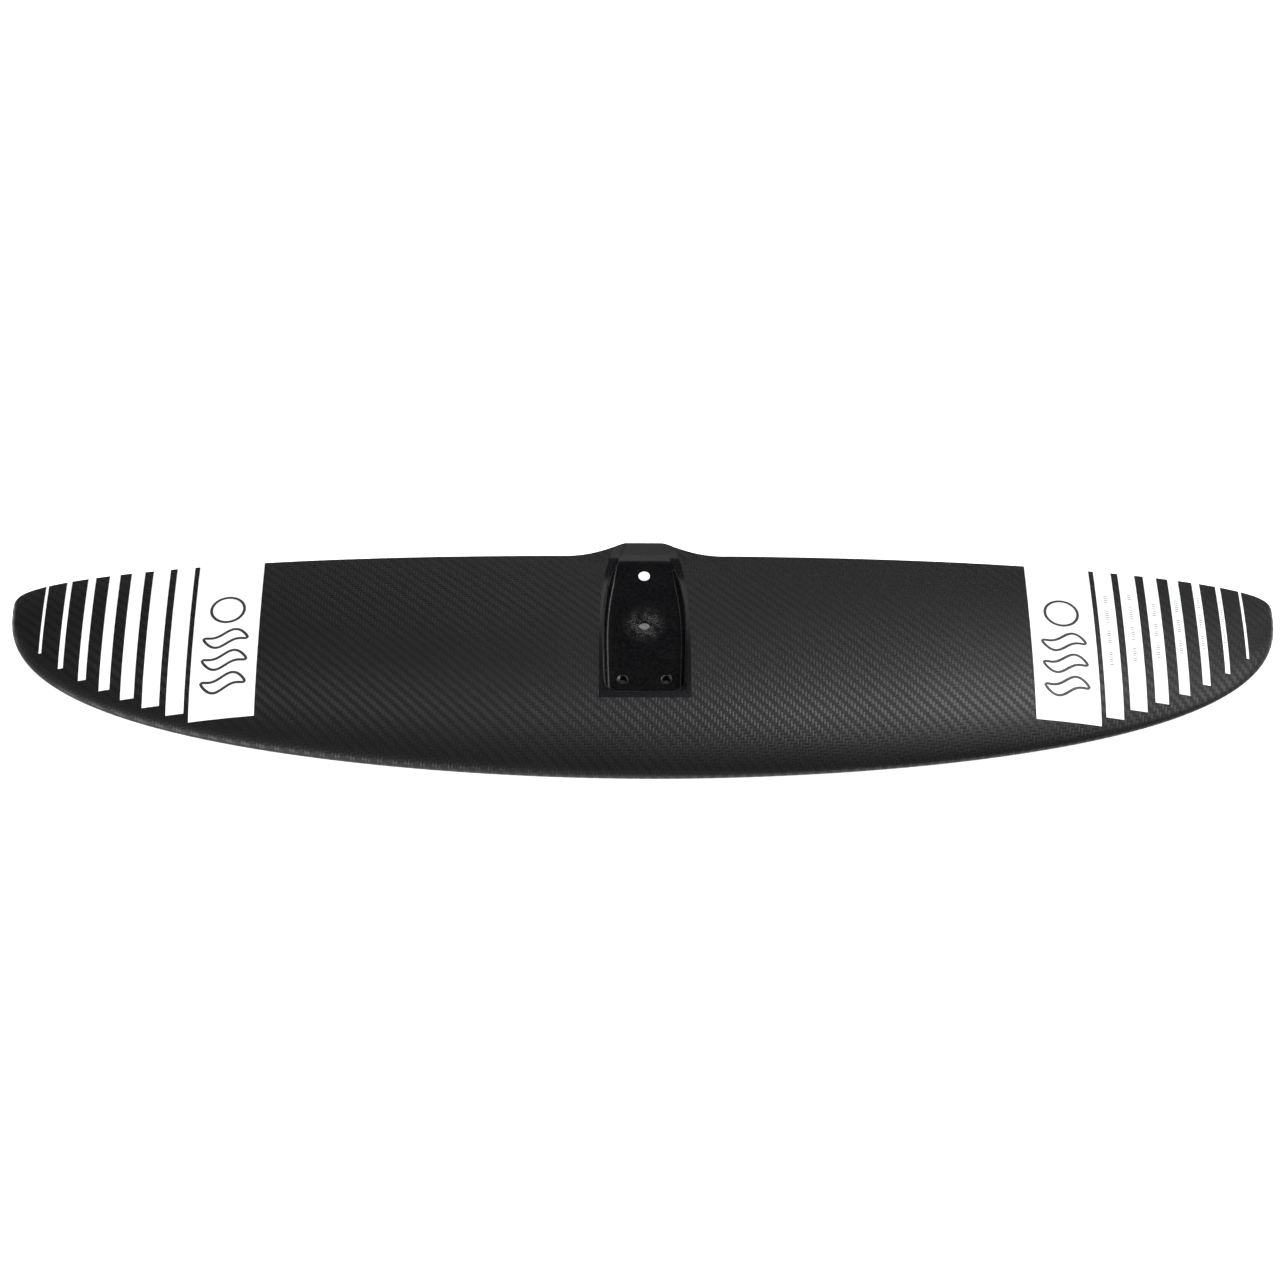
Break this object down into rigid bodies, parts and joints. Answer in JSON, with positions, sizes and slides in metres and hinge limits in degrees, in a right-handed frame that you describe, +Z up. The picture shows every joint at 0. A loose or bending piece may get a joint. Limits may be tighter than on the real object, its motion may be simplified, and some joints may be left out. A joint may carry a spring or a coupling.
{
  "type": "hydrofoil front wing",
  "caption": "Moulded carbon hydrofoil front wing with drooped tips, a socket for the fuselage in its upper face, bolt holes, and white stripes towards the tips.",
  "frame": {"origin": "on the flat floor of the fuselage socket, on the centre line, midway between the two bolt holes", "axes": "+X along the span, +Y towards the trailing edge, +Z up, out of the socket's floor"},
  "size_m": [0.81, 0.1829, 0.0452],
  "materials": {
    "carbon_twill": "satin",
    "carbon_ud": "matte",
    "socket_black": "gloss",
    "laminate": "matte",
    "foam": "matte",
    "steel": "satin",
    "white_film": "satin"
  },
  "bodies": {
    "root": {"top_skin": "carbon_twill", "bottom_skin": "carbon_twill", "core_left": "foam", "core_right": "foam", "upper_spar_cap_left": "carbon_ud", "upper_spar_cap_right": "carbon_ud", "lower_spar_cap": "carbon_ud", "centre_block": "laminate", "fuselage_socket": "socket_black", "bolt_sleeve_rear": "steel", "bolt_sleeve_centre": "steel", "threaded_insert_left": "steel", "threaded_insert_right": "steel", "panel_left": "white_film", "panel_right": "white_film", "stripe_left_1": "white_film", "stripe_left_2": "white_film", "stripe_left_3": "white_film", "stripe_left_4": "white_film", "stripe_left_5": "white_film", "stripe_left_6": "white_film", "stripe_left_7": "white_film", "stripe_right_1": "white_film", "stripe_right_2": "white_film", "stripe_right_3": "white_film", "stripe_right_4": "white_film", "stripe_right_5": "white_film", "stripe_right_6": "white_film", "stripe_right_7": "white_film"}
  },
  "joints": []
}
